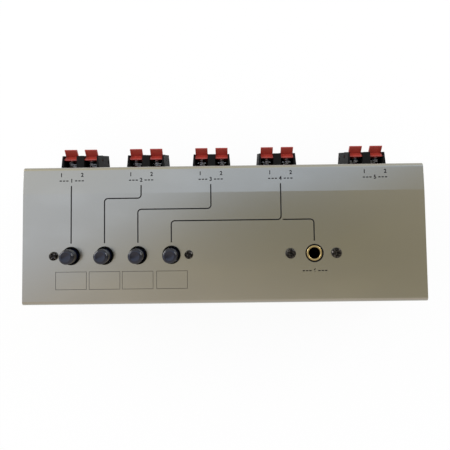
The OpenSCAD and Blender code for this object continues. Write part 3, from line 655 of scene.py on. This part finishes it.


# --- Push buttons ------------------------------------------------------------------------------------
# Tall round caps of black plastic with a shallow dish on top, pressed onto the plungers. The blue in their
# colour is a painted reflection of the cool sky. They slide four millimetres down into their collars.
# The blue in this black is a painted reflection of the cool sky.
cap_black_sky_tinted = gloss_moulding("cap_moulding", (0.002, 0.003, 0.011), 0.18, Specular_IOR_Level=0.48)
cap_shoulder, cap_dish, cap_draft, cap_foot_edge = 1.5 * mm, 0.25 * mm, 0.06 * mm, 0.3 * mm
socket_r, socket_h = 2.95 * mm, 8 * mm
dish_curve = [(0.9, 0.25), (0.72, 0.6), (0.4, 0.9), (0, 1)]
for name in channels:
    low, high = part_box("button_" + name)
    foot = Vector(((low.x + high.x) / 2, (low.y + high.y) / 2, low.z))
    cap_h = high.z - low.z
    rim_r = cap_r - cap_draft - cap_shoulder
    outline = [
        (0, socket_h), (socket_r, socket_h), (socket_r, 0),
        (cap_r - cap_foot_edge, 0), (cap_r, cap_foot_edge),
        *arc(rim_r, cap_h - cap_shoulder, cap_shoulder, 0, 90, 8),
        *[(rim_r * out, cap_h - cap_dish * deep) for out, deep in dish_curve]
    ]
    add_piece(f"cap_{name}", turned(foot, outline), cap_black_sky_tinted, "push_button_" + name, ["button_" + name])


# --- Studio ------------------------------------------------------------------------------------------
# A pale table, a white background and soft lamps. The room above is brighter and cooler to the left and
# the rear, and the satin panel mirrors that.
table_r, seen_white, mirrored_white = 6000 * mm, 0.93, 0.35
floor_mesh = bpy.data.meshes.new("table_top")
bm = bmesh.new()
bmesh.ops.create_circle(bm, cap_ends=True, segments=3, radius=table_r)
bm.to_mesh(floor_mesh)
bm.free()
floor = bpy.data.objects.new("table_top", floor_mesh)
bpy.context.scene.collection.objects.link(floor)
table = bpy.data.materials.new("pale_table")
table.use_nodes = True
tree = table.node_tree
tree.nodes.remove(tree.nodes["Principled BSDF"])


def ray_kinds(tree):
    """1 or 0 for a camera ray, and for one that looks at the background through gloss or glass."""
    path = tree.nodes.new("ShaderNodeLightPath")
    kinds = ("Camera", "Glossy", "Transmission")
    seen, gloss, glass = [Wire(tree, path.outputs[f"Is {kind} Ray"]) for kind in kinds]
    return seen, gloss + glass


seen, mirrored = ray_kinds(tree)
matte = seen.node("ShaderNodeBsdfDiffuse", {}, {"Color": (0.8, 0.8, 0.8, 1)})
glow = seen.node("ShaderNodeEmission", {}, {"Color": (1, 1, 1, 1), "Strength": 1.0})
white = (seen * seen_white + mirrored * mirrored_white).at_most(seen_white)
mixed = seen.node("ShaderNodeMixShader", {}, {0: white, 1: matte, 2: glow})
mixed.feed(tree.nodes["Material Output"].inputs["Surface"], mixed)
floor_mesh.materials.append(table)

world = bpy.data.worlds.new("studio")
bpy.context.scene.world = world
world.use_nodes = True
tree = world.node_tree
way = Wire(tree).node("ShaderNodeTexCoord", output="Generated")
split = way.node("ShaderNodeSeparateXYZ", {}, {0: way}).socket.node.outputs
x, y, z = [Wire(tree, split[axis]) for axis in "XYZ"]


def slope(to_right, to_rear, overhead):
    """A level that changes evenly across the room, from the one straight overhead."""
    return x * to_right + y * to_rear + overhead


front_level, right_level = slope(-0.37, -1.78, 0.35), slope(0.8, 0.55, 0.25)
level = front_level.at_most(0.85).at_least(right_level.at_most(0.58))
warm = level.colour(level * 1.08, level, level * (level * 0.55 + 0.47))
cool = x.colour(slope(-0.2, 0, 1.05), slope(-0.04, -0.22, 1.22), slope(0.3, -0.85, 1.63))
behind_crease = y.rising(0.05, 0.13) * 0.11
overhead = (slope(-1, 2, -0.13) + behind_crease).rising(-0.06, 0.06).tint(warm, cool)
near_horizon = 1 - z.rising(0.1, 0.45)
seen, mirrored = ray_kinds(tree)
white = (seen + mirrored * near_horizon).at_most(1.0)
sky = white.tint(overhead, (1, 1, 1))
sky.feed(tree.nodes["Background"].inputs["Color"], sky)

lamps = [
    ("window_left", (-800, 360, 400), 560, 240, 4.5),
    ("window_right", (800, 430, 420), 560, 200, 3.5)
]
for name, place, width, height, power in lamps:
    light = bpy.data.lights.new(name, "AREA")
    light.shape, light.size, light.size_y, light.energy = "RECTANGLE", width * mm, height * mm, power
    lamp = bpy.data.objects.new(name, light)
    lamp.location = Vector(place) * mm
    lamp.rotation_mode = "QUATERNION"
    lamp.rotation_quaternion = (lamp.location - panel_middle).to_track_quat("Z", "Y")
    bpy.context.scene.collection.objects.link(lamp)


# --- Camera ------------------------------------------------------------------------------------------
# It looks down from 307 mm above the table, through a lens as long as its sensor is wide. Its small
# turns and shift place the panel in the frame.
view = bpy.data.cameras.new("view")
view.sensor_width, view.lens, view.clip_start = 36, 36, 10 * mm
view.shift_x, view.shift_y = -0.004, -0.0803
camera = bpy.data.objects.new("view", view)
camera.location = Vector((3.77, 6.23, 307.53)) * mm
camera.rotation_euler = Euler([radians(a) for a in (2.944, 0.410, -0.741)])
bpy.context.scene.collection.objects.link(camera)
bpy.context.scene.camera = camera
bpy.context.scene.view_settings.view_transform = "Standard"
